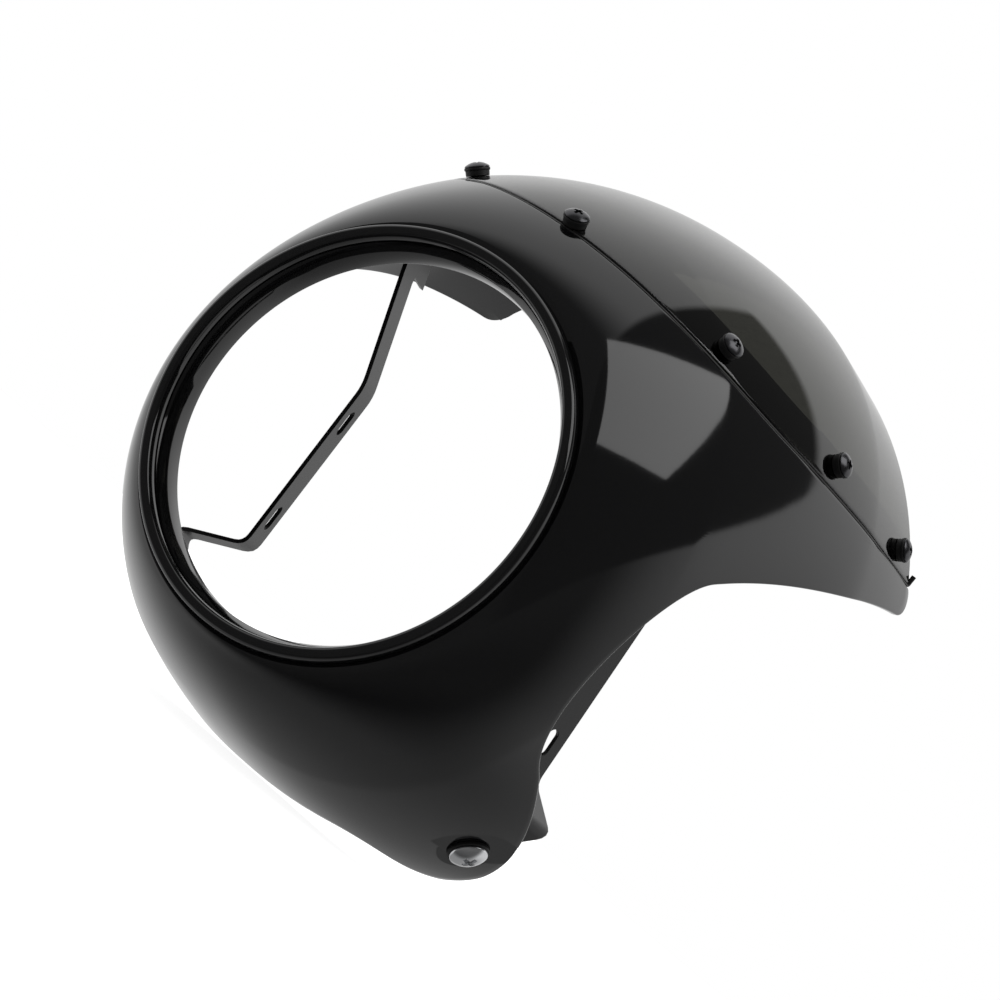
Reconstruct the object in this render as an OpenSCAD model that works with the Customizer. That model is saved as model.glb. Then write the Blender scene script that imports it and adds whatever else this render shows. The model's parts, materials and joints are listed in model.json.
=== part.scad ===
// Headlight cowl for a motorbike with a round headlamp.
// A moulded black shell carries a smoked screen on a sunk flange. Seven screws hold the screen,
// and a bent steel bracket on each side ties the flange to the lower tab and bolts to the fork.
// Millimetres. +Z is up and the front faces -Y. The origin is the centre of the headlamp hole,
// in the plane of its front lip.

/* [Headlamp hole] */
// bore that takes the headlamp bucket
bore_d = 178; // [150:1:200]
// opening at the front edge of the collar
lip_d = 184; // [156:1:206]
// thickness of the round bead round the opening
bead_d = 6.4; // [4:0.2:10]
// depth of the collar behind the lip plane
collar_depth = 19; // [10:1:30]

/* [Shell] */
// half width that the sides reach
half_width = 154.5; // [130:0.5:180]
// height of the crown above the hole centre
crown_h = 197; // [160:1:230]
// depth of the belly below the hole centre
belly_h = 142; // [120:1:170]
// length over which the sides swell out
side_len = 183; // [140:1:230]
// length over which the crown rises
crown_len = 185; // [140:1:230]
// length over which the belly drops
belly_len = 159; // [120:1:200]
// height that the widest line climbs towards the rear
waist_rise = 39.5; // [0:0.5:60]
// length over which the widest line climbs
waist_len = 240; // [160:5:280]
// wall thickness of the moulding
wall = 3.5; // [2.5:0.1:5]

/* [Screen] */
// height of the seam between shell and screen
seam_z = 119.5; // [100:0.5:140]
// rear end of the seam
seam_end_y = 254; // [200:1:280]
// thickness of the screen
screen_t = 2.5; // [2:0.1:4]
// height of the rubber strip in the seam
gasket_h = 1.4; // [1:0.1:3]
// rear edge of the screen at the crown
screen_back_y = 233; // [190:1:260]
// height of the flange edge above the seam, at the front
flange_h = 25; // [18:1:32]

/* [Fixings] */
// height of the screws above the seam
screw_rise = 13.4; // [10:0.2:18]
// distance of each side screw behind the lip plane
screw_y = [62, 138.5, 226];
// thread of the seam screws
screw_d = 5; // [4:1:6]
// thread of the tab bolts
tab_bolt_d = 6; // [5:1:8]
// distance of the tab bolt behind the lip plane
tab_y = 125; // [110:1:140]
// height of the tab bolt, measured down from the hole centre
tab_drop = 103.6; // [90:0.2:115]

/* [Brackets] */
// width of the steel strap
strap_w = 20; // [16:1:28]
// thickness of the strap
strap_t = 2; // [1.5:0.5:4]
// angle by which the straps open towards the rear
toe = 14; // [0:1:25]
// width of the two slots
slot_w = 6.5; // [5:0.5:9]
// length of each slot from end to end
slot_l = 13.5; // [8:0.5:20]
// distance between the slot centres
slot_pitch = 56; // [40:1:70]

/* [Hidden] */
bore_r = bore_d / 2;
lip_r = lip_d / 2;
bead_r = bead_d / 2;
ring_r = lip_r + bead_d;           // where the bead meets the shell
ring_y = 1.5;
settle = 60;                       // distance in which the round front turns into the side shape
flange_gap = 0.2;                  // room between screen and flange
flange_in = screen_t + flange_gap; // depth of the flange face under the outer surface
flange_t = 2.5;
screw_r = screw_d / 2;
washer_h = 3.8;
pad_t = 5;
pad_sink = 0.9;
pad_slope = 39;                    // how far the pad faces down
foot_slope = 35;                   // how far the flange faces up beside the third screw
seat = 0.05;                       // hair of room where two pieces touch
head_fn = 32;
black = [0.05, 0.05, 0.06];
rubber = [0.1, 0.1, 0.1];
chrome = [0.8, 0.8, 0.82];
steel = [0.16, 0.16, 0.17];
smoke = [0.35, 0.36, 0.34, 0.5];

function clamp01(t) = max(0, min(1, t));
function unit(v) = v / norm(v);
function signed_pow(v, p) = sign(v) * pow(abs(v), p);
function flip(v) = [-v[0], v[1], v[2]];

// The outer surface. Every cross-section is a round-cornered oval that grows from the ring.
function swell(t, n) = pow(1 - pow(1 - clamp01(t), n), 1 / n);
function grow(y, to, len, n) = ring_r + (to - ring_r) * swell((y - ring_y) / len, n);
function half_w(y) = grow(y, half_width, side_len, 1.5);
function top_z(y) = grow(y, crown_h, crown_len, 1.54);
function low_z(y) = grow(y, belly_h, belly_len, 1.59);
function waist_z(y) = let (t = clamp01((y - ring_y) / waist_len)) waist_rise * t * t * (3 - 2 * t);
function power(y, up) = 2 + (up ? 0.12 : 0.34) * clamp01((y - ring_y) / settle);
function half_h(y, up) = up ? top_z(y) - waist_z(y) : low_z(y) + waist_z(y);

// point at section angle a (90 is the crown, 0 the right side) and distance y
function body_point(a, y) =
    let (up = sin(a) >= 0, e = 2 / power(y, up))
    [half_w(y) * signed_pow(cos(a), e), y, waist_z(y) + half_h(y, up) * signed_pow(sin(a), e)];

// zero on the surface, less inside it
function body_value(q) =
    let (y = max(q[1], ring_y), up = q[2] >= waist_z(y), p = power(y, up))
    pow(abs(q[0]) / half_w(y), p) + pow(abs(q[2] - waist_z(y)) / half_h(y, up), p);
function body_normal(q) =
    unit([for (d = [[0.3, 0, 0], [0, 0.3, 0], [0, 0, 0.3]]) body_value(q + d) - body_value(q - d)]);
function sunk(q, depth) = q - depth * body_normal(q);

// the right side at y and z, the section angle there, and the crown line at height z
function side_x(y, z) =
    let (up = z >= waist_z(y), p = power(y, up))
    half_w(y) * pow(max(0, 1 - pow(abs(z - waist_z(y)) / half_h(y, up), p)), 1 / p);
function angle_at(y, z) =
    let (up = z >= waist_z(y), v = (z - waist_z(y)) / half_h(y, up))
    asin(max(-1, min(1, signed_pow(v, power(y, up) / 2))));
function angle_below(y, x) = -acos(clamp01(pow(x / half_w(y), power(y, false) / 2)));
function crown_y(z) =
    ring_y + crown_len * (1 - pow(1 - pow((z - ring_r) / (crown_h - ring_r), 1.54), 1 / 1.54));

// a point at height z, where w runs from the left rear corner (-1) over the front (0) to the right
function level_point(w, z) =
    let (y = crown_y(z) + (seam_end_y - crown_y(z)) * w * w)
    abs(w) < 0.001 ? [0, y, z] : [sign(w) * side_x(y, z), y, z];
function flange_z(w) = seam_z + flange_h - 6.5 * w * w;

// points on a Bezier curve, without the first point
function bezier(a, b, c, d, n) = [for (i = [1:n]) let (t = i / n, s = 1 - t)
    s * s * s * a + 3 * s * s * t * b + 3 * s * t * t * c + t * t * t * d];

// The rim of the right half. Side parts are [y, z], the bottom is [y, x].
tip = bezier([seam_end_y + 2, seam_z], [260, 116], [256, 111], [247, 109.5], 4);
wing_edge = bezier([247, 109.5], [200, 101], [130, 82], [84, 52], 11);
throat = bezier([84, 52], [58, 38], [36, -38], [84, -58.5], 11);
tab_edge = bezier([84, -58.5], [108, -73], [140, -92], [157, -108.5], 5);
tab_end = bezier([157, -108.5], [161, -113], [163, -118], [162, -122], 3);
belly_edge = bezier([161, 84], [149, 68], [122, 70], [113, 50], 6);
belly_mid = bezier([113, 50], [109, 38], [108, 20], [108, 0], 5);

// The same rim as [section angle, y], from the crown to the belly.
seam_front_y = crown_y(seam_z);
rim_half = concat(
    [for (i = [0:15]) let (y = seam_front_y + (seam_end_y + 2 - seam_front_y) * pow(i / 15, 2))
        [angle_at(y, seam_z), y]],
    [for (q = concat(tip, wing_edge, throat, tab_edge, tab_end)) [angle_at(q[0], q[1]), q[0]]],
    [for (q = concat(belly_edge, belly_mid)) [angle_below(q[0], q[1]), q[0]]]);
rim = concat(rim_half, [for (i = [len(rim_half) - 2:-1:1]) [180 - rim_half[i][0], rim_half[i][1]]]);

// Seam screws, from the left rear corner over the front to the right.
screw_z = seam_z + screw_rise;
function drop_z(y) = screw_z - 0.011 * (y - crown_y(screw_z));
function screw_point(k) =
    k == 4 ? [0, crown_y(screw_z), screw_z] :
    let (y = screw_y[abs(k - 4) - 1])
    [sign(k - 4) * side_x(y, drop_z(y)), y, drop_z(y)];
screws = [1:7];

// Directions of the strap: out to the side, along its width, and the pads it is clamped to.
out_dir = [cos(toe), -sin(toe), 0];
width_dir = [sin(toe), cos(toe), 0];
pad_dir = cos(pad_slope) * out_dir - sin(pad_slope) * [0, 0, 1];
foot_dir = cos(foot_slope) * out_dir + sin(foot_slope) * [0, 0, 1];
tab_point = [side_x(tab_y, -tab_drop), tab_y, -tab_drop] - pad_sink * pad_dir;
foot_point = sunk(screw_point(6), flange_in + flange_t + 0.6);

// where a point lies in the strap's own plane
function across(q) = [q * out_dir, q[2]];
low_foot = across(tab_point - (pad_t + strap_t / 2 + seat) * pad_dir);
top_foot = across(foot_point - (strap_t / 2) * foot_dir);
pad_up = [sin(pad_slope), cos(pad_slope)];
foot_up = [-sin(foot_slope), cos(foot_slope)];
mid_out = 56;
low_bend_z = -62;
top_bend_z = 30;
strap_path = [low_foot - 14 * pad_up, low_foot + 30 * pad_up, [mid_out, low_bend_z],
    [mid_out, top_bend_z], top_foot - 20 * foot_up, top_foot + 12 * foot_up];

// rounds each corner of a path, then gives it a thickness
function bent(path, d) = concat([path[0]],
    [for (i = [1:len(path) - 2], t = [0:0.25:1])
        let (p = path[i], a = p + d * unit(path[i - 1] - p), b = p + d * unit(path[i + 1] - p))
        (1 - t) * (1 - t) * a + 2 * t * (1 - t) * p + t * t * b],
    [path[len(path) - 1]]);
function left_of(p, q) = let (d = unit(q - p)) [-d[1], d[0]];
function mitre(path, i) =
    let (n = len(path) - 1,
         a = left_of(path[max(0, i - 1)], path[max(1, i)]),
         b = left_of(path[min(n - 1, i)], path[min(n, i + 1)]))
    (a + b) / (1 + a * b);
function thick(path, t) = concat(
    [for (i = [0:len(path) - 1]) path[i] + mitre(path, i) * t / 2],
    [for (i = [len(path) - 1:-1:0]) path[i] - mitre(path, i) * t / 2]);

// A wall between an outer and an inner grid of points. The rows run rearwards or upwards and the
// columns clockwise. A first row of one point makes a pointed start.
module sheet(outer, inner, closed = false) {
    rows = len(outer);
    cols = len(outer[1]);
    first = len(outer[0]);
    total = first + (rows - 1) * cols;
    last = closed ? cols - 1 : cols - 2;
    function at(i, j) = i == 0 ? (first == 1 ? 0 : j % cols) : first + (i - 1) * cols + j % cols;
    face_out = [for (i = [0:rows - 2], j = [0:last]) each concat(
        [[at(i, j), at(i + 1, j), at(i + 1, j + 1)]],
        i == 0 && first == 1 ? [] : [[at(i, j), at(i + 1, j + 1), at(i, j + 1)]])];
    face_in = [for (f = face_out) [f[0] + total, f[2] + total, f[1] + total]];
    edges = concat(
        [for (j = [0:last]) [at(rows - 1, j + 1), at(rows - 1, j)]],
        first == 1 ? [] : [for (j = [0:last]) [at(0, j), at(0, j + 1)]],
        closed ? [] : [for (i = [0:rows - 2]) [at(i + 1, 0), at(i, 0)]],
        closed ? [] : [for (i = [0:rows - 2]) [at(i, cols - 1), at(i + 1, cols - 1)]]);
    rims = [for (e = edges) each [
        [e[0], e[1], e[1] + total],
        [e[0], e[1] + total, e[0] + total]]];
    polyhedron(concat([for (r = outer) each r], [for (r = inner) each r]),
        concat(face_out, face_in, rims), convexity = 8);
}

// stands a child on a point so that its +Z is the direction n
module stand(p, n) {
    translate(p) rotate([0, acos(n[2]), atan2(n[1], n[0])]) children();
}

// the child for the right side, or its mirror image for the left
module on_side(s) {
    mirror([s < 0 ? 1 : 0, 0, 0]) children();
}

// bead, collar and the root that the skin grows from
module ring() {
    rotate([-90, 0, 0]) rotate_extrude($fn = 144) {
        translate([lip_r + bead_r, ring_y]) circle(bead_r, $fn = 28);
        polygon([[lip_r, ring_y], [bore_r, 6], [bore_r, collar_depth], [bore_r + 3, collar_depth],
            [bore_r + 4, 9], [ring_r - 0.3, 6], [ring_r - 0.3, ring_y]]);
    }
}

// the curved wall from the ring to the rim
module skin() {
    steps = 15;
    rows = [for (i = [0:steps]) [for (c = rim)
        body_point(c[0], ring_y + 0.6 + (c[1] - ring_y - 0.6) * pow(i / steps, 1.7))]];
    root_out = [for (c = rim) [(ring_r - 2) * cos(c[0]), ring_y + 1.5, (ring_r - 2) * sin(c[0])]];
    root_in = [for (c = rim) [(ring_r - 3) * cos(c[0]), ring_y + 4, (ring_r - 3) * sin(c[0])]];
    sheet(concat([root_out], rows),
        concat([root_in], [for (r = rows) [for (q = r) sunk(q, wall)]]), closed = true);
}

// the step that the screen lies on
module flange() {
    stations = [for (j = [-15:15]) j / 15];
    rows = [for (v = [-9, 0, 8, 16]) [for (w = stations) level_point(w, seam_z + v)]];
    edge = [for (w = stations) level_point(w, flange_z(w))];
    all = concat(rows, [edge]);
    sheet([for (r = all) [for (q = r) sunk(q, flange_in)]],
        [for (r = all) [for (q = r) sunk(q, flange_in + flange_t)]]);
}

// flat area round the tab bolt, rounded at the front and open to the rim at the rear
module pad_shape(grow = 0) {
    intersection() {
        union() {
            circle(19 + grow, $fn = 64);
            translate([0, -19 - grow]) square([60, 38 + 2 * grow]);
        }
        polygon([[-25, -25], [33 + 20 * grow, -25], [33 + 20 * grow, -8], [16 + 9 * grow, 12],
            [8 + 9 * grow, 25], [-25, 25]]);
    }
}
// frame of the pad: x runs rearwards, y upwards, z out along the bolt
module on_pad() {
    up = sin(pad_slope) * out_dir + cos(pad_slope) * [0, 0, 1];
    multmatrix([for (i = [0:2]) [width_dir[i], up[i], pad_dir[i], tab_point[i]]]) children();
}

module shell() {
    color(black) difference() {
        union() {
            difference() {
                union() {
                    skin();
                    flange();
                }
                for (s = [-1, 1]) on_side(s) on_pad() linear_extrude(12) pad_shape(1);
            }
            ring();
            for (s = [-1, 1]) on_side(s) on_pad() translate([0, 0, -pad_t])
                linear_extrude(pad_t) pad_shape();
        }
        for (k = screws) stand(screw_point(k), body_normal(screw_point(k)))
            translate([0, 0, -12]) cylinder(h = 14, r = screw_r + 0.3, $fn = head_fn);
        for (s = [-1, 1]) on_side(s) on_pad() translate([0, 0, -12])
            cylinder(h = 24, r = tab_bolt_d / 2 + 0.3, $fn = head_fn);
    }
}

// a clear bubble from the seam to an arched rear edge
module windscreen() {
    base_z = seam_z + gasket_h;
    front_y = crown_y(base_z);
    rows = 14;
    half = 15;
    // u is 0 at the crown and 1 at the seam
    function rear_y(u) = screen_back_y + (seam_end_y - screen_back_y) * u * u;
    function row(v) = [for (j = [-half:half])
        let (u = abs(j) / half, y = front_y + (rear_y(u) - front_y) * v * v,
             a = 90 - u * (90 - angle_at(y, base_z)), q = body_point(a, y))
        j < 0 ? flip(q) : q];
    outer = concat([[[0, front_y, base_z]]], [for (i = [1:rows]) row(i / rows)]);
    color(smoke) difference() {
        sheet(outer, [for (r = outer) [for (q = r) sunk(q, screen_t)]]);
        for (k = screws) stand(screw_point(k), body_normal(screw_point(k)))
            translate([0, 0, -6]) cylinder(h = 12, r = screw_r + 0.6, $fn = head_fn);
    }
}

// rubber strip in the seam, with a short tail that stands up at each rear corner
module seam_gasket() {
    stations = [for (j = [-15:15]) j / 15];
    rows = [for (z = [seam_z + seat, seam_z + gasket_h - seat])
        [for (w = stations) level_point(w, z)]];
    corner = level_point(1, seam_z + gasket_h);
    color(rubber) union() {
        sheet([for (r = rows) [for (q = r) sunk(q, 0.3)]],
            [for (r = rows) [for (q = r) sunk(q, flange_in - seat)]]);
        for (s = [-1, 1]) on_side(s)
            translate([corner[0] - 2.4, seam_end_y - 0.6, seam_z + seat]) cube([2, 1.8, 6]);
    }
}

// a strap bent outwards at both ends, with two slots for the fork clamps
module bracket() {
    mid_b = 154;
    lean = 0.15;
    function front_edge(b) = b - strap_w / 2;
    function slot_b(z) = mid_b - lean * (z - (low_bend_z + top_bend_z) / 2);
    hole_b = tab_point * width_dir;
    step_b = foot_point * width_dir;
    low_z = low_foot[1] - 14;
    outline = [
        [hole_b - 10, low_z - 6], [hole_b - 10, low_z + 16],
        [slot_b(low_bend_z) - 10, low_bend_z], [slot_b(top_bend_z) - 10, top_bend_z],
        [131, 84], [131, 92], [step_b - 12, 104], [step_b - 12, 150],
        [step_b + 10, 150], [step_b + 10, 87], [152, 87], [151, 84],
        [slot_b(top_bend_z) + 10, top_bend_z], [slot_b(low_bend_z) + 10, low_bend_z],
        [hole_b + 10, low_z + 16], [hole_b + 10, low_z - 6]];
    along = [[out_dir[0], 0, width_dir[0], 0], [out_dir[1], 0, width_dir[1], 0], [0, 1, 0, 0]];
    side = [[width_dir[0], 0, out_dir[0], 0], [width_dir[1], 0, out_dir[1], 0], [0, 1, 0, 0]];
    color(steel) difference() {
        intersection() {
            multmatrix(along) translate([0, 0, 110]) linear_extrude(90)
                polygon(thick(bent(strap_path, 5), strap_t));
            multmatrix(side) linear_extrude(200) polygon(outline);
        }
        for (z = [low_bend_z + 18, low_bend_z + 18 + slot_pitch]) multmatrix(side)
            translate([slot_b(z), z, 40]) rotate([0, 0, atan(lean)]) {
                for (e = [-1, 1]) translate([0, e * (slot_l - slot_w) / 2, 0])
                    cylinder(h = 30, r = slot_w / 2, $fn = head_fn);
                translate([-slot_w / 2, -(slot_l - slot_w) / 2, 0])
                    cube([slot_w, slot_l - slot_w, 30]);
            }
        on_pad() translate([0, 0, -12]) cylinder(h = 10, r = tab_bolt_d / 2 + 0.3, $fn = head_fn);
        stand(screw_point(6), body_normal(screw_point(6))) translate([0, 0, -16])
            cylinder(h = 14, r = screw_r + 0.6, $fn = head_fn);
    }
}

// recess for a crosshead driver, cut into the top of a head at height h
module cross(size, h) {
    for (a = [0, 90]) rotate([0, 0, a])
        translate([-size / 2, -size / 8, h - size / 3]) cube([size, size / 4, size]);
}

// a low dome of radius r and height h over a short straight edge
module dome(r, h) {
    edge = h / 4;
    rise = h - edge;
    round_r = (r * r + rise * rise) / (2 * rise);
    sweep = asin(r / round_r);
    rotate_extrude($fn = 48) polygon(concat([[0, 0], [r, 0]],
        [for (i = [0:7]) let (a = sweep * (1 - i / 8))
            [round_r * sin(a), edge + round_r * cos(a) - (round_r - rise)]],
        [[0, h]]));
}

module seam_screw(k) {
    color(chrome) stand(screw_point(k), body_normal(screw_point(k)))
        translate([0, 0, washer_h + 2 * seat]) {
            difference() {
                dome(5.25, 3);
                cross(4.4, 3);
            }
            translate([0, 0, -20]) cylinder(h = 20.2, r = screw_r, $fn = head_fn);
        }
}

// thick rubber washer under a screw head
module seam_washer(k) {
    color(rubber) stand(screw_point(k), body_normal(screw_point(k))) translate([0, 0, seat])
        rotate_extrude($fn = 48) polygon([[screw_r + 0.2, 0], [5.4, 0], [5.6, washer_h - 1.4],
            [6.1, washer_h - 1.2], [6.1, washer_h - 0.3], [5.8, washer_h], [screw_r + 0.2, washer_h]]);
}

// round rubber nut behind the flange, or behind the strap where one is clamped there
module seam_nut(k) {
    strapped = k == 2 || k == 6;
    depth = flange_in + flange_t + (strapped ? 0.8 + strap_t : k == 4 ? 0.9 : 0.4);
    disc_r = strapped ? 8.5 : 6.5;
    color(rubber) stand(screw_point(k), body_normal(screw_point(k))) translate([0, 0, -depth])
        rotate([180, 0, 0]) rotate_extrude($fn = 48) polygon([[screw_r + 0.05, 0], [disc_r, 0],
            [disc_r, 1.6], [5.2, 1.9], [4.9, 8], [screw_r + 0.05, 8]]);
}

module tab_bolt() {
    color(chrome) on_pad() translate([0, 0, 1.6 + 2 * seat]) {
        difference() {
            dome(8.5, 4.4);
            cross(6.4, 4.4);
        }
        translate([0, 0, -16]) cylinder(h = 16.2, r = tab_bolt_d / 2, $fn = head_fn);
    }
}

module tab_washer() {
    color(rubber) on_pad() translate([0, 0, seat]) difference() {
        cylinder(h = 1.6, r = 9.5, $fn = 48);
        translate([0, 0, -1]) cylinder(h = 4, r = tab_bolt_d / 2 + 0.2, $fn = head_fn);
    }
}

module tab_nut() {
    color(steel) on_pad() translate([0, 0, -pad_t - strap_t - 5.2 - 4 * seat]) difference() {
        union() {
            cylinder(h = 5.2, r = tab_bolt_d * 0.96, $fn = 6);
            translate([0, 0, 4]) cylinder(h = 1.2, r = tab_bolt_d * 1.15, $fn = 48);
        }
        translate([0, 0, -1]) cylinder(h = 8, r = tab_bolt_d / 2 + 0.05, $fn = head_fn);
    }
}

shell();
windscreen();
seam_gasket();
on_side(-1) bracket();  // bracket_left
on_side(1) bracket();  // bracket_right
for (k = screws) seam_screw(k);
for (k = screws) seam_washer(k);
for (k = screws) seam_nut(k);
on_side(-1) tab_bolt();  // tab_bolt_left
on_side(1) tab_bolt();  // tab_bolt_right
on_side(-1) tab_washer();  // tab_washer_left
on_side(1) tab_washer();  // tab_washer_right
on_side(-1) tab_nut();  // tab_nut_left
on_side(1) tab_nut();  // tab_nut_right
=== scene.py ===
# %% [markdown]
# # A headlight cowl for a motorbike
# The cowl is a black moulded shell with a round hole for the headlamp. A smoked acrylic screen
# closes its top and is held by seven black screws on thick rubber washers. Inside, a bent steel
# strap on each side ties the screen's flange to the lower tab and bolts to the fork.
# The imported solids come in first. They fix every size and place, so each piece below is worked
# out in the same frame: millimetres, +Z up, front towards -Y, origin in the middle of the hole.

# %% Load the solids
import json
import math
import bmesh
import bpy
import numpy as np
from mathutils import Matrix, Vector

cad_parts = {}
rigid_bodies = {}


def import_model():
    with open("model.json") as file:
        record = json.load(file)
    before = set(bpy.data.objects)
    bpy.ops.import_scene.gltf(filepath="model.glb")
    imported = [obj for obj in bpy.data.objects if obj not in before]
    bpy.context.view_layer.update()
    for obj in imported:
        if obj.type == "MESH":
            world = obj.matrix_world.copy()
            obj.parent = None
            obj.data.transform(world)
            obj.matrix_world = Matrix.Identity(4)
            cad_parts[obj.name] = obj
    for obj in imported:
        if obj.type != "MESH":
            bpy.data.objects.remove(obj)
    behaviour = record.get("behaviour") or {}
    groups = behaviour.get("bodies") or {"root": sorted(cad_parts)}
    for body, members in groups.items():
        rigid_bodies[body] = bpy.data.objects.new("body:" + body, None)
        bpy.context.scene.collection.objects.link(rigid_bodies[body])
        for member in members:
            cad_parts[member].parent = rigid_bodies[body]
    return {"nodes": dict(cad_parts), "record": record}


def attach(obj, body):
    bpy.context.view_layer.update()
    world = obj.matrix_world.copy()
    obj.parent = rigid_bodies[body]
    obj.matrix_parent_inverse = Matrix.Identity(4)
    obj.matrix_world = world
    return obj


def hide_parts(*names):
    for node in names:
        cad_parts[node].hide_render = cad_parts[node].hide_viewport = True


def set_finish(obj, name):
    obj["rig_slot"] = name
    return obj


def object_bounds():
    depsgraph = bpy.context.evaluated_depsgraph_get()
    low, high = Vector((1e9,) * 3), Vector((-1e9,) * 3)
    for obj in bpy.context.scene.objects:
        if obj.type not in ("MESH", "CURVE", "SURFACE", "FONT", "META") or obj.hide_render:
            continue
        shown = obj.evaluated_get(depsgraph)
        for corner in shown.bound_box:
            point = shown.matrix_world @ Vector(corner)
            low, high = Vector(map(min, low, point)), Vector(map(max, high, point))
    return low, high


for leftover in list(bpy.data.objects):
    bpy.data.objects.remove(leftover)
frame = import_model()
CAD_BOX = [list(map(float, corner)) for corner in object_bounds()]
SCENE = bpy.context.scene
print("solids:", len(frame["nodes"]), "box:", CAD_BOX)

# %% [markdown]
# ## The outer surface as a formula
# A fairing like this is drawn by its cross-sections. Each section is an oval with slightly squared
# corners, and it grows from the ring round the headlamp hole to its full size near the rear.
# Writing it as a formula gives exact points and exact normals at any density, which a black
# gloss finish needs, because it shows every flat facet.

# %% The growing oval
RING_R, RING_Y = 98.4, 1.5
HALF_WIDTH, CROWN, BELLY = 154.5, 197.0, 142.0
WALL = 3.5


def swell(t, n):
    """Goes from 0 to 1 like a quarter of an oval: one minus (1 - t) to the n, all to the 1/n."""
    return (1 - (1 - np.clip(t, 0, 1)) ** n) ** (1 / n)


def section(y):
    """Half width, height of the widest line, crown, belly and the two powers at distance y."""
    w = RING_R + (HALF_WIDTH - RING_R) * swell((y - RING_Y) / 183, 1.5)
    top = RING_R + (CROWN - RING_R) * swell((y - RING_Y) / 185, 1.54)
    low = RING_R + (BELLY - RING_R) * swell((y - RING_Y) / 159, 1.59)
    t = np.clip((y - RING_Y) / 240, 0, 1)
    waist = 39.5 * t * t * (3 - 2 * t)
    settle = np.clip((y - RING_Y) / 60, 0, 1)
    return w, waist, top, low, 2 + 0.12 * settle, 2 + 0.34 * settle


def signed_pow(v, p):
    return np.sign(v) * np.abs(v) ** p


def body_point(a, y):
    """Point at section angle a in degrees, 90 at the crown: x = w cos^(2/p), z likewise with sin."""
    w, waist, top, low, p_up, p_low = section(y)
    c, s = np.cos(np.radians(a)), np.sin(np.radians(a))
    p = np.where(s >= 0, p_up, p_low)
    h = np.where(s >= 0, top - waist, low + waist)
    return np.stack([w * signed_pow(c, 2 / p), y + 0 * c, waist + h * signed_pow(s, 2 / p)], -1)


def body_value(q):
    """One on the surface, less inside: |x / w|^p + |(z - waist) / h|^p."""
    w, waist, top, low, p_up, p_low = section(np.maximum(q[..., 1], RING_Y))
    up = q[..., 2] >= waist
    p = np.where(up, p_up, p_low)
    h = np.where(up, top - waist, low + waist)
    return np.abs(q[..., 0] / w) ** p + np.abs((q[..., 2] - waist) / h) ** p


def unit(v):
    return v / np.linalg.norm(v, axis=-1, keepdims=True)


def body_normal(q):
    """Direction in which body_value grows fastest, from differences over 0.3 mm."""
    return unit(np.stack([body_value(q + d) - body_value(q - d) for d in np.eye(3) * 0.3], -1))


def sunk(q, depth):
    """Points moved inwards along the surface normal."""
    return q - depth * body_normal(q)


def angle_at(y, z):
    """Section angle of the right-hand point at y and z."""
    w, waist, top, low, p_up, p_low = section(y)
    p = np.where(z >= waist, p_up, p_low)
    h = np.where(z >= waist, top - waist, low + waist)
    return np.degrees(np.arcsin(np.clip(signed_pow((z - waist) / h, p / 2), -1, 1)))


def params(q):
    """Section angle and distance of points on the outer surface."""
    w, waist, top, low, p_up, p_low = section(q[..., 1])
    up = q[..., 2] >= waist
    p, h = np.where(up, p_up, p_low), np.where(up, top - waist, low + waist)
    s, c = signed_pow((q[..., 2] - waist) / h, p / 2), signed_pow(q[..., 0] / w, p / 2)
    return np.degrees(np.arctan2(s, c)), q[..., 1]


def crown_y(z):
    """Distance at which the crown line reaches height z: the inverse of the swelling."""
    return RING_Y + 185 * (1 - (1 - ((z - RING_R) / (CROWN - RING_R)) ** 1.54) ** (1 / 1.54))


print("widest half section at y = 150:", np.round(body_point(0.0, 150.0), 1))

# %% [markdown]
# ## Helpers for meshes
# Every new piece is one or more grids of points. A grid becomes a mesh by joining each point with
# its neighbours, and grids of one piece are stacked into one object. Points stay in millimetres
# up to here and become metres in the mesh, so the object itself is never moved or scaled.

# %% Grids to meshes


def grid_faces(rows, cols, wrap_rows, wrap_cols, start):
    """Four-cornered faces of a grid that is stored row by row."""
    i = np.arange(rows if wrap_rows else rows - 1)[:, None]
    j = np.arange(cols if wrap_cols else cols - 1)[None, :]
    i2, j2 = (i + 1) % rows, (j + 1) % cols
    quad = np.stack([i * cols + j, i2 * cols + j, i2 * cols + j2, i * cols + j2], -1)
    return quad.reshape(-1, 4) + start


def finish_mesh(piece, sharp=35):
    """Merges doubles, points the normals outwards, and shades smooth up to a sharp angle."""
    bm = bmesh.new()
    bm.from_mesh(piece.data)
    bmesh.ops.remove_doubles(bm, verts=bm.verts, dist=1e-6)
    bmesh.ops.recalc_face_normals(bm, faces=bm.faces)
    bm.to_mesh(piece.data)
    bm.free()
    piece.data.shade_smooth()
    piece.data.set_sharp_from_angle(angle=math.radians(sharp))
    return piece


def build(name, *grids, sharp=35):
    """One object from several grids; each is (points[rows, cols, 3], wrap_rows, wrap_cols)."""
    points, faces, start = [], [], 0
    for g, wrap_rows, wrap_cols in grids:
        rows, cols = g.shape[:2]
        points.append(g.reshape(-1, 3))
        faces.append(grid_faces(rows, cols, wrap_rows, wrap_cols, start))
        start += rows * cols
    mesh = bpy.data.meshes.new(name)
    mesh.from_pydata((np.concatenate(points) * 0.001).tolist(), [], np.concatenate(faces).tolist())
    piece = bpy.data.objects.new(name, mesh)
    SCENE.collection.objects.link(piece)
    return finish_mesh(piece, sharp)


def keep(piece, finish, *nodes):
    """Puts a finished piece on the body, in place of the solids that it stands for."""
    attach(piece, "root")
    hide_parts(*nodes)
    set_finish(piece, finish)
    return piece


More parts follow.
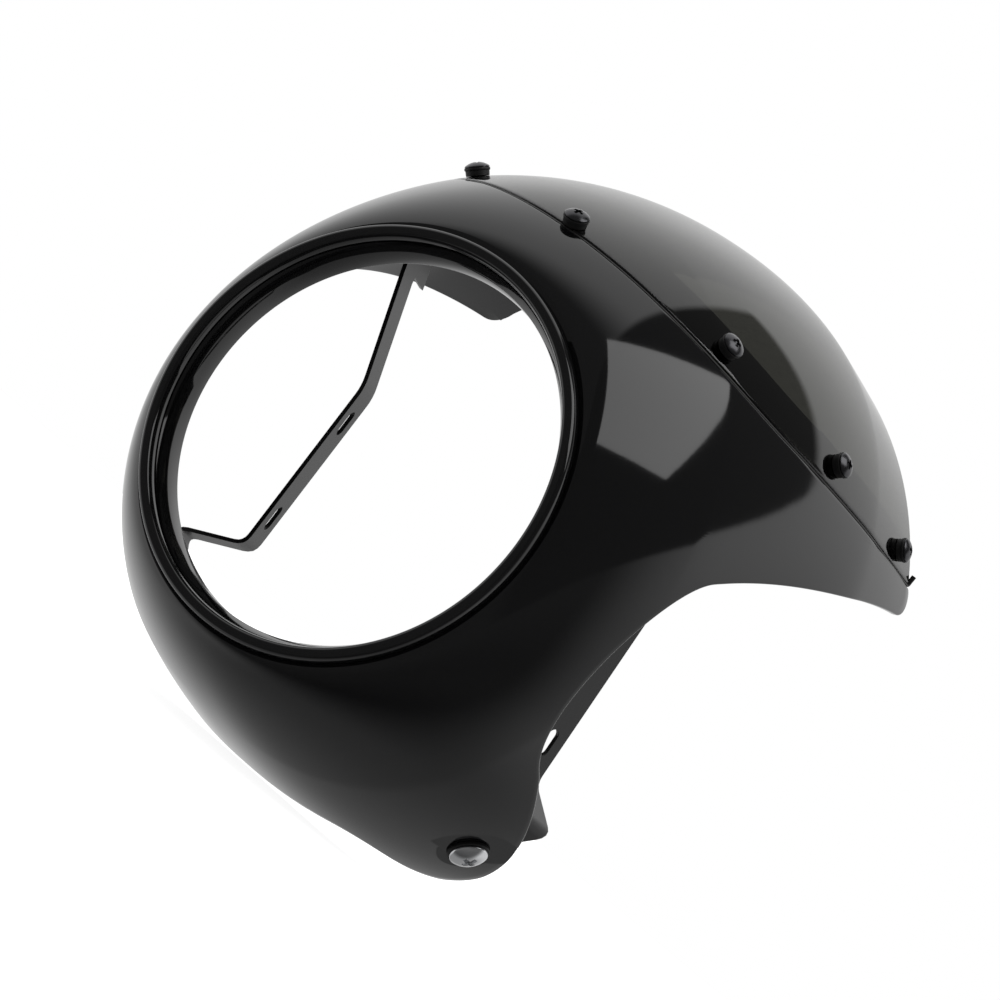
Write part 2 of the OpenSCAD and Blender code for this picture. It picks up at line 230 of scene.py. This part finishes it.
def bezier(a, b, c, d, n):
    """Points on a cubic curve with two pull points, without the first one."""
    t = np.linspace(0, 1, n + 1)[1:, None]
    a, b, c, d = map(np.array, (a, b, c, d))
    return (1 - t) ** 3 * a + 3 * (1 - t) ** 2 * t * b + 3 * (1 - t) * t * t * c + t ** 3 * d


def revolve(profile, steps=192):
    """Grid of a profile of (radius, height) carried round the Z axis."""
    turn = np.linspace(0, 2 * np.pi, steps, endpoint=False)
    r, h = np.asarray(profile, float).T[:, :, None]
    return np.stack([r * np.cos(turn), r * np.sin(turn), h + 0 * turn], -1)


def strip(outer, inner):
    """A long band between two grids, pinched shut at both ends."""
    loop = np.concatenate([outer, inner[::-1]])
    middle = np.concatenate([outer + inner, (outer + inner)[::-1]]) / 2
    return np.concatenate([middle[:, :1], loop, middle[:, -1:]], 1)


# %% [markdown]
# ## The rim of the shell
# The rear edge of the shell is one closed line. It follows the seam under the screen, turns round
# the pointed wing tip, runs down the cut-out for the fork, round the lower tab and along the
# belly. A real moulding has no knife edge, so both corners of the 3.5 mm edge are rounded.

# %% Rim line
SEAM_Z, SEAM_RISE, SEAM_LIFT, SEAM_END = 120.4, 8.3, 3.0, 254.0
GASKET, SCREEN_BACK, SCREEN_T = 1.4, 233.0, 2.5


def seam_height(w):
    """Height of the seam: it climbs over the front and lifts a little at the rear corners."""
    return SEAM_Z + SEAM_RISE * (1 - np.minimum(1, 2.9 * w * w)) ** 2 + SEAM_LIFT * np.abs(w) ** 8


def seam_line(w, up):
    """Points up mm above the seam; w is -1 at the left rear, 0 in front and 1 at the right rear."""
    z = seam_height(w) + up
    front = crown_y(SEAM_Z + SEAM_RISE + up)
    y = front + (SEAM_END - front) * w * w
    return body_point(angle_at(y, z), y) * np.stack([np.sign(w), 1 + 0 * y, 1 + 0 * y], -1)


def even(line, count):
    """Resamples a closed line of points to equal steps along its length."""
    closed = np.vstack([line, line[:1]])
    length = np.r_[0, np.cumsum(np.linalg.norm(np.diff(closed, axis=0), axis=1))]
    want = np.linspace(0, length[-1], count, endpoint=False)
    return np.stack([np.interp(want, length, closed[:, k]) for k in range(3)], -1)


def smooth(line, reach):
    """Softens a closed line by averaging each point with its neighbours."""
    weights = np.hanning(2 * reach + 3)[1:-1]
    weights /= weights.sum()
    return sum(w * np.roll(line, k - reach, axis=0) for k, w in enumerate(weights))


def both_sides(half):
    """A right half from crown to belly, and its mirror image back to the crown."""
    half[0, 0] = half[-1, 0] = 0
    return np.vstack([half, half[-2:0:-1] * [-1, 1, 1]])


half_way = np.linspace(0, 1, 160)
front = crown_y(SEAM_Z + SEAM_RISE)
side = np.vstack([
    np.stack([front + (SEAM_END + 2 - front) * half_way ** 2, seam_height(half_way)], -1),
    bezier([SEAM_END + 2, seam_height(1)], [SEAM_END + 7, 118], [SEAM_END + 3, 110], [247, 108.5], 24),
    bezier([247, 108.5], [200, 100.5], [130, 82], [84, 52], 80),
    bezier([84, 52], [58, 38], [36, -38], [84, -58.5], 80),
    bezier([84, -58.5], [108, -73], [140, -92], [157, -108.5], 40),
    bezier([157, -108.5], [161, -113], [163, -118], [162, -122], 12)])
belly = np.vstack([
    bezier([161, 84], [149, 68], [122, 70], [113, 50], 40),
    bezier([113, 50], [109, 38], [108, 20], [108, 0], 30)])
width_here, power_here = section(belly[:, 0])[0], section(belly[:, 0])[5]
under = -np.degrees(np.arccos(np.clip((belly[:, 1] / width_here) ** (power_here / 2), 0, 1)))
rim_half = np.vstack([body_point(angle_at(side[:, 0], side[:, 1]), side[:, 0]),
                      body_point(under, belly[:, 0])])
RIM = smooth(even(both_sides(rim_half), 800), 1)
print("rim length in mm:", round(float(np.linalg.norm(np.diff(RIM, axis=0), axis=1).sum())))

# %% [markdown]
# ## A wall woven up to a rim
# The shell and the screen are both thin walls on the same surface, so one function makes both. It
# spans straight lines in section angle and distance from a start to the rim, turns the edge over
# in two small quarter rounds, and comes back along the inner face.

# %% Wall with a rounded edge


def bent_wall(rim, wall, radius, start, steps, power):
    """Rows of a wall from start over its rounded rim and back. start gives angle and distance."""
    n = body_normal(rim)
    out = unit(np.cross(unit(np.roll(rim, -1, 0) - np.roll(rim, 1, 0)), n))
    centre = rim.mean(0)
    out *= np.sign(np.sum(out * (rim - centre), -1).mean())
    base = rim - radius * out
    turn = np.radians(np.linspace(0, 90, 5))[:, None, None]
    upper = base - radius * n + radius * (n * np.cos(turn) + out * np.sin(turn))
    lower = base - (wall - radius) * n + radius * (out * np.cos(turn) - n * np.sin(turn))
    a1, y1 = params(base)
    a0, y0 = start(a1, y1)

    def rows(count):
        t = (np.linspace(0, 1, count + 1) ** power)[:, None]
        return body_point(a0 + (a1 - a0) * t, y0 + (y1 - y0) * t)
    return np.concatenate([rows(steps), upper[1:], lower[:-1], sunk(rows(steps // 2), wall)[::-1]])


skin = bent_wall(RIM, WALL, 0.8, lambda a, y: (a, 0 * y + RING_Y + 0.5), 58, 1.6)
rim_turn = np.radians(params(RIM)[0])


def root(r, y):
    return np.stack([r * np.cos(rim_turn), 0 * rim_turn + y, r * np.sin(rim_turn)], -1)[None]


skin = np.concatenate([root(RING_R - 2, 3), skin, root(RING_R - 3, 4)])
print("skin grid:", skin.shape[:2])

# %% [markdown]
# ## The ring and the flange
# A bead frames the headlamp hole, and a short collar runs back from it. Both are one profile
# carried round the axis. The bead has a squared-off oval section, so its flank shows as a band.
# The flange is a band that sits 2.7 mm under the outer surface, so that the screen lies flush
# with the shell.

# %% Ring profile and flange band
LIP_R, BORE_R, COLLAR = 92.0, 89.0, 19.0
BEAD_R, BEAD_H = (RING_R - LIP_R) / 2, 6.0
arc = np.radians(np.linspace(-20, 180, 40))
bead = np.stack([LIP_R + BEAD_R + BEAD_R * signed_pow(np.cos(arc), 0.7),
                 RING_Y + 1 - BEAD_H * signed_pow(np.sin(arc), 0.7)], -1)
taper = np.stack([LIP_R - (LIP_R - BORE_R) * np.linspace(0.1, 1, 8) ** 0.8,
                  np.linspace(2.2, 7, 8)], -1)
lip_turn = np.radians(np.linspace(0, 90, 5))
back = np.stack([BORE_R + 0.7 - 0.7 * np.cos(lip_turn), COLLAR - 0.7 + 0.7 * np.sin(lip_turn)], -1)
ring_profile = np.vstack([bead, taper, back, [[92, COLLAR], [93, 9], [98, 6]]])
ring = revolve(ring_profile, 288)[..., [0, 2, 1]]

station = np.linspace(-1, 1, 261)
FLANGE_TOP = 18.5 - 1.5 * station ** 2
levels = np.stack([seam_line(station, (FLANGE_TOP + 9) * k - 9) for k in np.linspace(0, 1, 24)])
flange = strip(sunk(levels, SCREEN_T + 0.2), sunk(levels, SCREEN_T + 2.7))
shell = build("cowl_shell", (skin, True, True), (ring, True, True), (flange, True, False))
print("shell triangles:", sum(len(p.vertices) - 2 for p in shell.data.polygons))

# %% [markdown]
# ## Flat pads at the tabs
# Each lower tab has a flat spot for its bolt, rounded at the front and running out at the rim. On
# the tool this is a milled recess, so a cutter of the same outline is taken away from the skin.
# A round boss behind the bolt is put back, which keeps the wall whole where the cut runs deep.

# %% Pads
TOE, PAD_SLOPE, FOOT_SLOPE = math.radians(14), math.radians(39), math.radians(35)
OUT = np.array([math.cos(TOE), -math.sin(TOE), 0])
WIDE = np.array([math.sin(TOE), math.cos(TOE), 0])
UP = np.array([0, 0, 1.0])
PAD_N = math.cos(PAD_SLOPE) * OUT - math.sin(PAD_SLOPE) * UP
PAD_UP = math.sin(PAD_SLOPE) * OUT + math.cos(PAD_SLOPE) * UP
TAB = body_point(angle_at(125.0, -103.6), 125.0) - 0.9 * PAD_N
PAD_T = 5.0


def on_pad(points, side):
    """Points given as rearwards, upwards and outwards of the bolt, placed on one tab."""
    placed = TAB + points[..., :1] * WIDE + points[..., 1:2] * PAD_UP + points[..., 2:] * PAD_N
    return placed * [side, 1, 1]


def prism(outline, low, high):
    """A straight-sided block over an outline, from height low to height high."""
    n = len(outline)
    bottom, top = (np.c_[outline, np.full(n, h)] for h in (low, high))
    middle = outline.mean(0)
    caps = [np.tile([*middle, h], (n, 1)) for h in (low, high)]
    return np.stack([caps[0], bottom, top, caps[1]])


def arc_of(r, first, last, count):
    """Points on a circle of radius r round the bolt, between two angles in degrees."""
    turn = np.radians(np.linspace(first, last, count))
    return np.stack([r * np.cos(turn), r * np.sin(turn)], -1)


# The cutter has a half circle at the front, and its slanted end lies past the rim.
PAD_R, BOSS_R, CUTTER_H = 20, 14, 12
CUTTER = np.vstack([arc_of(PAD_R, 90, 270, 33), [[53, -PAD_R], [53, -8], [25, 12], [20, PAD_R]]])
BOSS = arc_of(BOSS_R, 0, 360, 49)[:-1]
HAIR = 0.02


def carve(piece, grid, operation):
    """Cuts a block from a piece, or joins it on, and keeps the result as the mesh."""
    block = build("block", grid)
    step = piece.modifiers.new("step", "BOOLEAN")
    step.object, step.operation, step.solver = block, operation, "EXACT"
    made = bpy.data.meshes.new_from_object(
        piece.evaluated_get(bpy.context.evaluated_depsgraph_get()))
    piece.modifiers.clear()
    piece.data = made
    bpy.data.objects.remove(block)


def border(piece, side):
    """Marks the border of a pad's flat face sharp, so that the flat is shaded flat."""
    n = Vector((PAD_N * [side, 1, 1]).tolist())
    spot = Vector((TAB * [side, 1, 1] * 0.001).tolist())
    bm = bmesh.new()
    bm.from_mesh(piece.data)
    flat = {face.index for face in bm.faces
            if face.normal.dot(n) > 0.9995 and abs((face.calc_center_median() - spot).dot(n)) < 3e-5}
    for edge in bm.edges:
        if sum(face.index in flat for face in edge.link_faces) == 1:
            edge.smooth = False
    bm.to_mesh(piece.data)
    bm.free()
    return len(flat)


for side in (1, -1):
    carve(shell, (on_pad(prism(CUTTER, 0, CUTTER_H), side), False, True), "DIFFERENCE")
    carve(shell, (on_pad(prism(BOSS, -PAD_T, -HAIR), side), False, True), "UNION")
finish_mesh(shell, 30)
print("faces on the two flats:", border(shell, 1), border(shell, -1))
keep(shell, "gloss_black", "shell")
print("shell after the pads:", len(shell.data.polygons), "faces")

# %% [markdown]
# ## The smoked screen
# The screen is the same surface above the seam, 2.5 mm thick and blown from one flat sheet. Its
# rear edge is an arch. The grid starts from a point on the crown and runs out to the rim, so no
# corner is pinched, and the polished edge is rounded.

# %% Screen
corner_angle = angle_at(SEAM_END, seam_height(1) + GASKET)
arch = np.linspace(0, 1, 120)[1:]
arch_y = SCREEN_BACK + (SEAM_END - SCREEN_BACK) * (1 - arch) ** 2
screen_half = np.vstack([seam_line(half_way, GASKET),
                         body_point(corner_angle + (90 - corner_angle) * arch, arch_y)])
SCREEN_RIM = smooth(even(both_sides(screen_half), 640), 1)
screen_rows = bent_wall(SCREEN_RIM, SCREEN_T, 0.7, lambda a, y: (0 * a + 90, 0 * y + 130), 60, 0.8)
screen = keep(build("smoked_screen", (screen_rows, False, True)), "smoked_acrylic", "windscreen")
print("screen faces:", len(screen.data.polygons))

# %% [markdown]
# ## The rubber strip in the seam
# A thin strip keeps water out of the seam. It is a small rounded section carried along the seam,
# and its two ends turn up at the rear corners.

# %% Seam strip


def sweep(path, normal, half_n, half_b, sides=16):
    """Carries a rounded rectangle along a path; normal gives its first axis at each point."""
    along = unit(np.gradient(path, axis=0))
    across = unit(np.cross(along, normal))
    normal = np.cross(across, along)
    turn = np.linspace(0, 2 * np.pi, sides, endpoint=False)
    c, s = signed_pow(np.cos(turn), 0.4), signed_pow(np.sin(turn), 0.4)
    ring_here = (c[:, None, None] * half_n * normal + s[:, None, None] * half_b * across) + path
    ends = np.stack([path[:1].repeat(sides, 0), path[-1:].repeat(sides, 0)])
    return np.concatenate([ends[0][:, None], ring_here, ends[1][:, None]], 1)


on_seam = seam_line(station, GASKET / 2)
n_seam = body_normal(on_seam)
seam_path = on_seam - 1.5 * n_seam
bend = np.radians(np.linspace(15, 90, 6))[:, None]
tail = seam_path[-1] + np.hstack([0 * bend, 1.6 * np.sin(bend), 1.6 * (1 - np.cos(bend))])
tail = np.vstack([tail, tail[-1] + np.outer([1.5, 3, 4.4], UP)])
seam_path = np.vstack([(tail * [-1, 1, 1])[::-1], seam_path, tail])
n_path = np.vstack([np.repeat(n_seam[:1], len(tail), 0), n_seam, np.repeat(n_seam[-1:], len(tail), 0)])
gasket = build("seam_strip", (sweep(seam_path, n_path, 1.15, 0.62), True, False))
keep(gasket, "black_rubber", "seam_gasket")

# %% [markdown]
# ## Screws, washers and nuts
# All round fasteners are a profile carried round their own axis and then stood on the surface.
# The driver recess is not cut afterwards: it is a dip in the height of the dome, so the dome and
# the recess are one grid.

# %% Round fasteners


def step_up(v):
    v = np.clip(v, 0, 1)
    return v * v * (3 - 2 * v)


def domed_screw(r, h, shank_r, length, steps=96):
    """A dome with a crosshead dip over a straight edge, and a shank with V-shaped rings."""
    edge, rise = h / 4, 3 * h / 4
    ball = (r * r + rise * rise) / (2 * rise)
    rho = np.linspace(0, 1, 40) ** 0.9 * (r - 0.25)
    turn = np.linspace(0, 2 * np.pi, steps, endpoint=False) + 0.4
    x, y = rho[:, None] * np.cos(turn), rho[:, None] * np.sin(turn)
    dome = edge + np.sqrt(ball ** 2 - rho ** 2)[:, None] - (ball - rise)

    def arm(u, v):
        return step_up((r * 0.42 - abs(u)) / (r * 0.07)) * step_up((r * 0.135 - abs(v)) / (r * 0.04))
    dip = np.maximum(arm(x, y), arm(y, x)) * h * 0.62 * (1 - 0.5 * rho[:, None] / (r * 0.45))
    top = np.stack([x, y, dome - np.maximum(dip, 0)], -1)
    pitch = 0.8
    z = np.arange(-2, -length + 1, -pitch / 4)
    thread = np.c_[shank_r - 0.24 + 0.24 * np.abs(((z / pitch) % 1) * 2 - 1), z]
    rest = np.vstack([[[r, edge * 0.85], [r, 0.15], [r - 0.15, 0], [shank_r, 0], [shank_r, -1.9]],
                      thread, [[shank_r - 0.6, -length], [0, -length]]])
    rest = revolve(rest, steps)
    c, s = math.cos(0.4), math.sin(0.4)
    rest = np.stack([c * rest[..., 0] - s * rest[..., 1], s * rest[..., 0] + c * rest[..., 1],
                     rest[..., 2]], -1)
    return np.concatenate([top, rest])


def stand(grid, point, n):
    """Turns a grid so that its Z axis is n, and puts its origin on point."""
    helper = UP if abs(n[2]) < 0.95 else OUT
    x_axis = unit(np.cross(helper, n))
    return point + grid @ np.stack([x_axis, np.cross(n, x_axis), n])


SCREW_Z = 132.9
SCREW_Y = [62, 138.5, 226]
SCREW_DROP = 0.011


def screw_point(k):
    """Screw k of the seam, 1 to 7 from the left rear corner; number 4 is in the middle.

    The row sinks a little towards the rear, by SCREW_DROP for each millimetre.
    """
    if k == 4:
        return np.array([0, crown_y(SCREW_Z), SCREW_Z])
    y = SCREW_Y[abs(k - 4) - 1]
    z = SCREW_Z - SCREW_DROP * (y - crown_y(SCREW_Z))
    return body_point(angle_at(y, z), y) * [np.sign(k - 4), 1, 1]


SEAT = 0.05
WASHER_H = 3.8
seam_screw = domed_screw(5.65, 2.6, 2.5, 20)
seam_washer = revolve([[2.7, 0], [5.2, 0], [5.4, 0.2], [5.5, 2.4], [5.8, 2.6], [5.9, 2.9],
                       [5.9, 3.4], [5.8, 3.75], [5.6, WASHER_H], [2.7, WASHER_H]], 96)
for k in range(1, 8):
    point, n = screw_point(k), body_normal(screw_point(k))
    head = stand(seam_screw + [0, 0, WASHER_H + 2 * SEAT], point, n)
    piece = build(f"seam_screw_{k}_head", (head, False, True))
    keep(piece, "black_steel", f"seam_screw_{k}")
    piece = build(f"seam_washer_{k}_ring", (stand(seam_washer + [0, 0, SEAT], point, n), True, True))
    keep(piece, "black_rubber", f"seam_washer_{k}")
print("screws stand at", np.round([screw_point(k) for k in (4, 5, 6, 7)], 1).tolist())

# %% Tab bolts
TAB_WASHER_H = 1.6
tab_screw = domed_screw(8.5, 4.4, 3.0, 16, 128)
tab_washer = revolve([[3.2, 0], [9.3, 0], [9.5, 0.2], [9.5, 1.3], [9.2, TAB_WASHER_H],
                      [3.2, TAB_WASHER_H]], 96)
for side, word in ((1, "right"), (-1, "left")):
    grid = on_pad(tab_screw + [0, 0, TAB_WASHER_H + 2 * SEAT], side)
    keep(build(f"tab_bolt_{word}_head", (grid, False, True)), "bright_screws", f"tab_bolt_{word}")
    grid = on_pad(tab_washer + [0, 0, SEAT], side)
    keep(build(f"tab_washer_{word}_ring", (grid, True, True)), "black_rubber", f"tab_washer_{word}")
print("heads of the tab bolts stand at", np.round(TAB, 1).tolist())

# %% [markdown]
# ## Straps and nuts with soft edges
# The straps and nuts already have their exact shape as solids. Pressed and cut steel has slightly
# broken edges that catch the light, so each gets a copy whose edges are bevelled.

# %% Bevelled copies


def soften(node, name, finish, width):
    """A copy of a solid with its loose triangles merged and its sharp edges bevelled."""
    piece = bpy.data.objects.new(name, frame["nodes"][node].data.copy())
    SCENE.collection.objects.link(piece)
    bm = bmesh.new()
    bm.from_mesh(piece.data)
    bmesh.ops.remove_doubles(bm, verts=bm.verts, dist=1e-6)
    bmesh.ops.dissolve_limit(bm, angle_limit=math.radians(1), verts=bm.verts, edges=bm.edges)
    bm.to_mesh(piece.data)
    bm.free()
    piece.data.shade_smooth()
    piece.data.set_sharp_from_angle(angle=math.radians(35))
    edge = piece.modifiers.new("edge", "BEVEL")
    edge.width, edge.segments, edge.limit_method = width, 2, "ANGLE"
    edge.angle_limit = math.radians(40)
    return keep(piece, finish, node)


for word in ("left", "right"):
    soften(f"bracket_{word}", f"fork_strap_{word}", "black_steel", 0.0004)
    soften(f"tab_nut_{word}", f"tab_nut_{word}_hex", "black_steel", 0.0003)

# %% [markdown]
# ## Finishes
# Colours are written as sRGB hex values, as a paint chart would give them, and one function turns
# them to the linear values that the shader needs. One more function adds a node, sets its
# values and links it, so each finish below reads as a short list.

# %% Colour and node helpers


def paint(code):
    """Linear colour with alpha from an sRGB hex code."""
    value = [int(code[k:k + 2], 16) / 255 for k in (1, 3, 5)]
    return [v / 12.92 if v <= 0.04045 else ((v + 0.055) / 1.055) ** 2.4 for v in value] + [1.0]


def add(tree, kind, links=None, **settings):
    """Adds a node, sets its properties or sockets by name, and links its inputs."""
    node = tree.nodes.new(kind)
    for key, value in settings.items():
        if hasattr(node, key):
            setattr(node, key, value)
        else:
            node.inputs[key.replace("_", " ")].default_value = value
    for key, source in (links or {}).items():
        tree.links.new(source, node.inputs[key])
    return node


def finish(name, **settings):
    """A new material with one main shader; returns the material, its nodes and the shader."""
    material = bpy.data.materials.new(name)
    material.use_nodes = True
    tree = material.node_tree
    tree.nodes.clear()
    shader = add(tree, "ShaderNodeBsdfPrincipled")
    for key, value in settings.items():
        shader.inputs[key.replace("_", " ")].default_value = value
    out = add(tree, "ShaderNodeOutputMaterial", {"Surface": shader.outputs["BSDF"]})
    return material, tree, shader


def grain(tree, shader, size_mm, height_mm, strength=1.0, detail=2.0):
    """A fine unevenness: noise with bumps size_mm apart and height_mm deep."""
    place = add(tree, "ShaderNodeTexCoord")
    noise = add(tree, "ShaderNodeTexNoise", {"Vector": place.outputs["Object"]},
                Scale=1000.0 / size_mm, Detail=detail)
    bump = add(tree, "ShaderNodeBump", {"Height": noise.outputs["Fac"]}, Strength=strength,
               Distance=height_mm / 1000)
    tree.links.new(bump.outputs["Normal"], shader.inputs["Normal"])
    return noise


# %% [markdown]
# ### Lacquered ABS
# The shell is moulded ABS under a clear gloss lacquer. The two have nearly the same index, so only
# the outer face mirrors. The colour is nearly black, so the eye sees the mirrored room and little
# else. Lacquer never dries quite flat, so a very slight waviness is added.

# %% Gloss black
gloss_black, tree, shader = finish("lacquered_abs", Base_Color=paint("#0B0B0C"), Roughness=0.06,
                                   IOR=1.5)
grain(tree, shader, 14.0, 0.012)

# %% [markdown]
# ### Smoked acrylic
# Acrylic bends light a little less than glass, and the smoke is a grey dye in the sheet, faintly
# olive. One sheet lets only a few hundredths of the light through, so the inside shows only as shadows.

# %% Smoke
smoke, tree, shader = finish("smoked_acrylic", Base_Color=paint("#33332E"), Roughness=0.02,
                             IOR=1.49, Transmission_Weight=1.0)

# %% [markdown]
# ### Screws, rubber and coated steel
# The seam screws are steel with a black oxide skin, and the tab bolts are chromed. The washers and
# the strip are moulded rubber, which is matt with a fine grain. The straps are powder coated. The
# grains are drawn a little coarser than the real ones, because finer ones would not show.

# %% Small finishes
black_oxide, tree, shader = finish("black_oxide_steel", Base_Color=paint("#4A4A4C"), Metallic=1.0,
                                   Roughness=0.24)
grain(tree, shader, 0.6, 0.004)
chrome, tree, shader = finish("chromed_steel", Base_Color=paint("#D9DADC"), Metallic=1.0,
                              Roughness=0.2)
grain(tree, shader, 0.8, 0.002)
rubber, tree, shader = finish("moulded_rubber", Base_Color=paint("#161616"), Roughness=0.55)
grain(tree, shader, 0.5, 0.02)
coated_steel, tree, shader = finish("powder_coated_steel", Base_Color=paint("#0F0F10"),
                                    Roughness=0.38)
grain(tree, shader, 0.9, 0.02)
FINISHES = {"gloss_black": gloss_black, "smoked_acrylic": smoke, "bright_screws": chrome,
            "black_rubber": rubber, "black_steel": coated_steel}

NODE_SLOTS = {entry["node"]: entry["material_slot"] for entry in frame["record"]["subparts"]}
worn = {node: NODE_SLOTS[name] for name, node in frame["nodes"].items()}
worn.update({piece: piece["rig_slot"] for piece in SCENE.objects
             if piece.type == "MESH" and "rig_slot" in piece})
for piece, slot in worn.items():
    piece.data.materials.clear()
    seam_screw_here = piece.name.startswith("seam_screw")
    piece.data.materials.append(black_oxide if seam_screw_here else FINISHES[slot])
print("finishes:", sorted(m.name for m in FINISHES.values()))

# %% [markdown]
# ## Camera
# The photograph looks at the cowl from the front and a little from the right, with a long lens,
# and the cowl is tipped clockwise in the frame. The camera is placed by those three angles.

# %% Camera
az, el, roll = np.radians([28.69, -4.14, 39.78])
towards = np.array([math.sin(az) * math.cos(el), -math.cos(az) * math.cos(el), math.sin(el)])
level = np.array([math.cos(az), math.sin(az), 0])
upright = np.cross(towards, level)
cam_x = level * math.cos(roll) + upright * math.sin(roll)
cam_y = -level * math.sin(roll) + upright * math.cos(roll)
axes = np.stack([cam_x, cam_y, towards], 1)
matrix = np.eye(4)
matrix[:3, :3], matrix[:3, 3] = axes, axes @ [0.06148, -0.02589, 1.230]
camera = bpy.data.objects.new("camera", bpy.data.cameras.new("camera"))
SCENE.collection.objects.link(camera)
camera.matrix_world = Matrix(matrix.tolist())
camera.data.sensor_width, camera.data.lens = 36.0, 105.93
camera.data.clip_start, camera.data.clip_end = 0.05, 50
SCENE.camera = camera
SCENE.view_settings.view_transform = "Standard"
print("camera at", np.round(matrix[:3, 3], 3).tolist())

# %% [markdown]
# ## Floor, surroundings and lamps
# Black gloss shows nothing but what stands round it, so the room was read off the photograph's
# highlights: white paper behind and beside the cowl, a dark side towards the camera, one softbox
# high on the right, and the dark frame that carries the softbox. Each of them is placed by its
# direction, counted from the camera's line of sight.

# %% Directions seen from the cowl


def look(turn, off):
    """A direction off degrees away from the camera, turned that way in the picture (90 is up)."""
    turn, off = math.radians(turn), math.radians(off)
    sideways = cam_x * math.cos(turn) + cam_y * math.sin(turn)
    return sideways * math.sin(off) + towards * math.cos(off)


centre = np.array([0, 0.12, 0.02])
print("the softbox hangs towards", np.round(look(29, 73), 2).tolist())

# %% [markdown]
# ### Floor and world
# The floor is white paper. The camera sees it with a little glow of its own, so that it comes out
# white and keeps a faint shadow. The gloss sees the room through it, because the real paper curves
# up and has no horizon. The world is white to the camera, and to everything else it is the room:
# dimmer paper low on the left, and a dark frame with straight edges.

# %% Floor
FLOOR_Z = CAD_BOX[0][2] - 0.0005
mesh = bpy.data.meshes.new("floor")
mesh.from_pydata([(x, y, FLOOR_Z) for x, y in ((-6, -6), (6, -6), (6, 6), (-6, 6))], [],
                 [(0, 1, 2, 3)])
floor = bpy.data.objects.new("floor", mesh)
SCENE.collection.objects.link(floor)
paper, tree, shader = finish("floor_paper", Base_Color=paint("#E6E6E6"), Roughness=0.9)
shader.inputs["Specular IOR Level"].default_value = 0
shader.inputs["Emission Color"].default_value = (1, 1, 1, 1)
path = add(tree, "ShaderNodeLightPath")
shine = add(tree, "ShaderNodeMath", {0: path.outputs["Is Camera Ray"]}, operation="MULTIPLY")
shine.inputs[1].default_value = 0.92
tree.links.new(shine.outputs[0], shader.inputs["Emission Strength"])
mirrored = add(tree, "ShaderNodeMath", {0: path.outputs["Is Glossy Ray"],
                                        1: path.outputs["Is Transmission Ray"]}, operation="MAXIMUM")
clear = add(tree, "ShaderNodeBsdfTransparent")
both = add(tree, "ShaderNodeMixShader", {0: mirrored.outputs[0], 1: shader.outputs[0],
                                         2: clear.outputs[0]})
out = next(node for node in tree.nodes if node.type == "OUTPUT_MATERIAL")
tree.links.new(both.outputs[0], out.inputs["Surface"])
floor.data.materials.append(paper)

# %% World
world = bpy.data.worlds.new("room")
SCENE.world = world
world.use_nodes = True
tree = world.node_tree
tree.nodes.clear()
direction = add(tree, "ShaderNodeTexCoord").outputs["Generated"]


def zone(towards_this, low, high, at_low, at_high):
    """Brightness that changes from at_low to at_high as a direction turns towards one."""
    dot = add(tree, "ShaderNodeVectorMath", {0: direction}, operation="DOT_PRODUCT")
    dot.inputs[1].default_value = towards_this
    fade = add(tree, "ShaderNodeMapRange", {"Value": dot.outputs["Value"]},
               interpolation_type="SMOOTHSTEP")
    for key, value in {"From Min": low, "From Max": high, "To Min": at_low, "To Max": at_high}.items():
        fade.inputs[key].default_value = value
    return fade.outputs["Result"]


def straight(a, b):
    """Normal of the plane through two directions and the cowl, on the side of the softbox."""
    normal = unit(np.cross(a, b))
    return normal * np.sign(normal @ look(22, 74.5))


def times(a, b):
    return add(tree, "ShaderNodeMath", {0: a, 1: b}, operation="MULTIPLY").outputs[0]


DARK = 0.11
paper_glow = zone(towards, -0.1, 0.3, 0.76, DARK)
below = zone(look(-110, 110), 0.55, 0.92, 1.0, 0.42)
beside = straight(look(33.7, 139), look(3, 113))
bright_strip = zone(beside, -0.4, -0.02, 1.0, 1.4)
glow = times(times(paper_glow, below), bright_strip)

# The dark frame of the softbox has straight edges: at its right, lower right and top.
dark = zone(beside, -0.012, 0.012, 0, 1)
for a, b in ((look(0, 110), look(-30, 86)), (look(47, 98), look(39, 126))):
    dark = times(dark, zone(straight(a, b), -0.02, 0.02, 0, 1))
dark = times(dark, zone(look(20, 90), 0.0, 0.3, 0, 1))
mixed = add(tree, "ShaderNodeMix", {0: dark, 2: glow})
mixed.inputs[3].default_value = DARK
path = add(tree, "ShaderNodeLightPath")
level_now = add(tree, "ShaderNodeMath", {0: path.outputs["Is Camera Ray"], 1: mixed.outputs[0]},
                operation="MAXIMUM")
sky = add(tree, "ShaderNodeBackground", {"Strength": level_now.outputs[0]})
sky.inputs["Color"].default_value = (1, 1, 1, 1)
add(tree, "ShaderNodeOutputWorld", {"Surface": sky.outputs["Background"]})

# %% Lamps


def lamp(name, way, distance, wide, high, watts, spin):
    """A soft rectangular lamp that shines on the cowl from one direction, turned by spin degrees."""
    light = bpy.data.lights.new(name, "AREA")
    light.shape, light.size, light.size_y, light.energy = "RECTANGLE", wide, high, watts
    holder = bpy.data.objects.new(name, light)
    SCENE.collection.objects.link(holder)
    place = Vector((centre + way * distance).tolist())
    turned = Vector(way.tolist()).to_track_quat("Z", "Y").to_matrix().to_4x4()
    holder.matrix_world = (Matrix.Translation(place) @ turned
                           @ Matrix.Rotation(math.radians(spin), 4, "Z"))


lamp("softbox", look(29, 73), 1.4, 1.05, 0.8, 6.0, -5)

# %% Sizes of the solids, and the end of the scene
print("CAD box:", np.round(CAD_BOX, 4).tolist())
